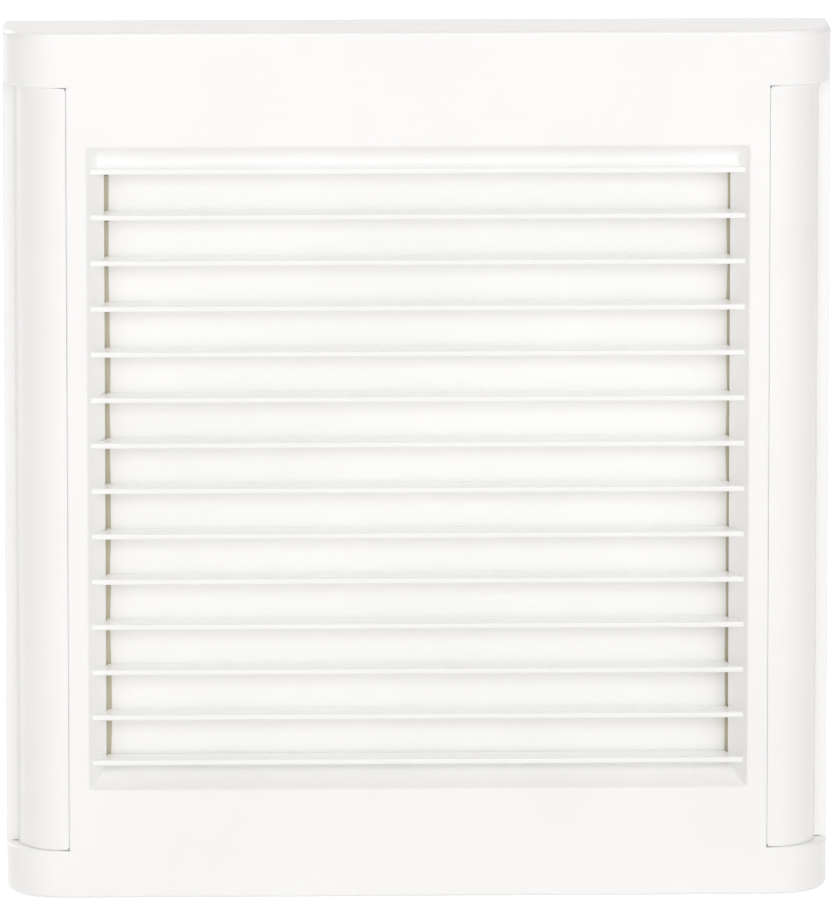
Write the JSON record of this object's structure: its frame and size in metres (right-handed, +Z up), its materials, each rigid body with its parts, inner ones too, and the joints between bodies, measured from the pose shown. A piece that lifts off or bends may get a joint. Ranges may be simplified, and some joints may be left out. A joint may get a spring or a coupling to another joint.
{
  "type": "window exhaust fan",
  "caption": "Square window exhaust fan with a barred indoor cover over a gravity shutter, clamped through a round hole to an outdoor sleeve with motor, impeller and guard.",
  "frame": {"origin": "on the fan axis, in the plane where the indoor gasket touches the window pane", "axes": "+X to the right and +Z up as seen from the room, +Y out through the window"},
  "size_m": [0.296, 0.1329, 0.313],
  "materials": {
    "case_plastic": "satin moulded",
    "flap_plastic": "satin moulded",
    "impeller_plastic": "satin moulded",
    "frame_plastic": "fine grained moulded",
    "gasket_foam": "closed cell foam",
    "bracket_steel": "powder coated sheet",
    "core_steel": "stacked sheets",
    "winding_wire": "enamelled wire",
    "cast_bell": "die cast",
    "shaft_steel": "ground",
    "zinc_screw": "zinc plated",
    "black_plastic": "moulded",
    "lead_jacket": "extruded"
  },
  "bodies": {
    "case": {"inner_housing": "case_plastic", "outer_housing": "case_plastic", "rear_guard": "case_plastic", "shutter_frame": "frame_plastic", "terminal_cover": "frame_plastic", "inner_gasket": "gasket_foam", "outer_gasket": "gasket_foam", "motor_bracket": "bracket_steel", "stator_core": "core_steel", "winding_front": "winding_wire", "winding_rear": "winding_wire", "motor_front_bell": "cast_bell", "motor_rear_bell": "cast_bell", "front_bearing": "shaft_steel", "rear_bearing": "shaft_steel", "terminal_block": "black_plastic", "capacitor": "black_plastic", "cable_gland": "black_plastic", "capacitor_clip": "zinc_screw", "motor_lead": "lead_jacket", "frame_screw_1": "zinc_screw", "frame_screw_2": "zinc_screw", "frame_screw_3": "zinc_screw", "frame_screw_4": "zinc_screw", "tie_screw_1": "zinc_screw", "tie_screw_2": "zinc_screw", "tie_screw_3": "zinc_screw", "tie_screw_4": "zinc_screw", "guard_screw_1": "zinc_screw", "guard_screw_2": "zinc_screw", "guard_screw_3": "zinc_screw", "guard_screw_4": "zinc_screw", "bracket_screw_1": "zinc_screw", "bracket_screw_2": "zinc_screw", "bracket_screw_3": "zinc_screw", "bracket_screw_4": "zinc_screw", "motor_screw_1": "zinc_screw", "motor_screw_2": "zinc_screw", "motor_screw_3": "zinc_screw", "motor_screw_4": "zinc_screw"},
    "cover": {"front_cover": "case_plastic"},
    "fan_rotor": {"motor_rotor": "core_steel", "motor_shaft": "shaft_steel", "impeller": "impeller_plastic", "impeller_nut": "black_plastic"},
    "link_bar": {"shutter_link": "frame_plastic"},
    "louvre_01": {"louvre_flap_01": "flap_plastic"},
    "louvre_02": {"louvre_flap_02": "flap_plastic"},
    "louvre_03": {"louvre_flap_03": "flap_plastic"},
    "louvre_04": {"louvre_flap_04": "flap_plastic"},
    "louvre_05": {"louvre_flap_05": "flap_plastic"},
    "louvre_06": {"louvre_flap_06": "flap_plastic"},
    "louvre_07": {"louvre_flap_07": "flap_plastic"},
    "louvre_08": {"louvre_flap_08": "flap_plastic"},
    "louvre_09": {"louvre_flap_09": "flap_plastic"},
    "louvre_10": {"louvre_flap_10": "flap_plastic"},
    "louvre_11": {"louvre_flap_11": "flap_plastic"},
    "louvre_12": {"louvre_flap_12": "flap_plastic"},
    "louvre_13": {"louvre_flap_13": "flap_plastic"}
  },
  "joints": [
    {"name": "fan_spin", "type": "hinge", "parent": "case", "child": "fan_rotor", "pos_m": [0, 0, 0], "axis": [0, 1, 0], "continuous": true},
    {"name": "cover_pull", "type": "slide", "parent": "case", "child": "cover", "axis": [0, -1, 0], "range_m": [0, 0.06]},
    {"name": "louvre_01_swing", "type": "hinge", "parent": "case", "child": "louvre_01", "pos_m": [0, -0.0232, 0.10459], "axis": [1, 0, 0], "range_deg": [0, 65]},
    {"name": "louvre_02_swing", "type": "hinge", "parent": "case", "child": "louvre_02", "pos_m": [0, -0.0232, 0.08813], "axis": [1, 0, 0], "range_deg": [0, 65]},
    {"name": "louvre_03_swing", "type": "hinge", "parent": "case", "child": "louvre_03", "pos_m": [0, -0.0232, 0.07167], "axis": [1, 0, 0], "range_deg": [0, 65]},
    {"name": "louvre_04_swing", "type": "hinge", "parent": "case", "child": "louvre_04", "pos_m": [0, -0.0232, 0.05521], "axis": [1, 0, 0], "range_deg": [0, 65]},
    {"name": "louvre_05_swing", "type": "hinge", "parent": "case", "child": "louvre_05", "pos_m": [0, -0.0232, 0.03875], "axis": [1, 0, 0], "range_deg": [0, 65]},
    {"name": "louvre_06_swing", "type": "hinge", "parent": "case", "child": "louvre_06", "pos_m": [0, -0.0232, 0.02229], "axis": [1, 0, 0], "range_deg": [0, 65]},
    {"name": "louvre_07_swing", "type": "hinge", "parent": "case", "child": "louvre_07", "pos_m": [0, -0.0232, 0.00583], "axis": [1, 0, 0], "range_deg": [0, 65]},
    {"name": "louvre_08_swing", "type": "hinge", "parent": "case", "child": "louvre_08", "pos_m": [0, -0.0232, -0.01063], "axis": [1, 0, 0], "range_deg": [0, 65]},
    {"name": "louvre_09_swing", "type": "hinge", "parent": "case", "child": "louvre_09", "pos_m": [0, -0.0232, -0.02709], "axis": [1, 0, 0], "range_deg": [0, 65]},
    {"name": "louvre_10_swing", "type": "hinge", "parent": "case", "child": "louvre_10", "pos_m": [0, -0.0232, -0.04355], "axis": [1, 0, 0], "range_deg": [0, 65]},
    {"name": "louvre_11_swing", "type": "hinge", "parent": "case", "child": "louvre_11", "pos_m": [0, -0.0232, -0.06001], "axis": [1, 0, 0], "range_deg": [0, 65]},
    {"name": "louvre_12_swing", "type": "hinge", "parent": "case", "child": "louvre_12", "pos_m": [0, -0.0232, -0.07647], "axis": [1, 0, 0], "range_deg": [0, 65]},
    {"name": "louvre_13_swing", "type": "hinge", "parent": "case", "child": "louvre_13", "pos_m": [0, -0.0232, -0.09293], "axis": [1, 0, 0], "range_deg": [0, 65]},
    {"name": "link_swing", "type": "hinge", "parent": "louvre_07", "child": "link_bar", "pos_m": [0.119, -0.0182, -0.00067], "axis": [1, 0, 0], "range_deg": [-65, 0]}
  ],
  "couplings": [
    {"joint": "louvre_01_swing", "follows": "louvre_07_swing", "ratio": 1},
    {"joint": "louvre_02_swing", "follows": "louvre_07_swing", "ratio": 1},
    {"joint": "louvre_03_swing", "follows": "louvre_07_swing", "ratio": 1},
    {"joint": "louvre_04_swing", "follows": "louvre_07_swing", "ratio": 1},
    {"joint": "louvre_05_swing", "follows": "louvre_07_swing", "ratio": 1},
    {"joint": "louvre_06_swing", "follows": "louvre_07_swing", "ratio": 1},
    {"joint": "louvre_08_swing", "follows": "louvre_07_swing", "ratio": 1},
    {"joint": "louvre_09_swing", "follows": "louvre_07_swing", "ratio": 1},
    {"joint": "louvre_10_swing", "follows": "louvre_07_swing", "ratio": 1},
    {"joint": "louvre_11_swing", "follows": "louvre_07_swing", "ratio": 1},
    {"joint": "louvre_12_swing", "follows": "louvre_07_swing", "ratio": 1},
    {"joint": "louvre_13_swing", "follows": "louvre_07_swing", "ratio": 1},
    {"joint": "link_swing", "follows": "louvre_07_swing", "ratio": -1}
  ]
}
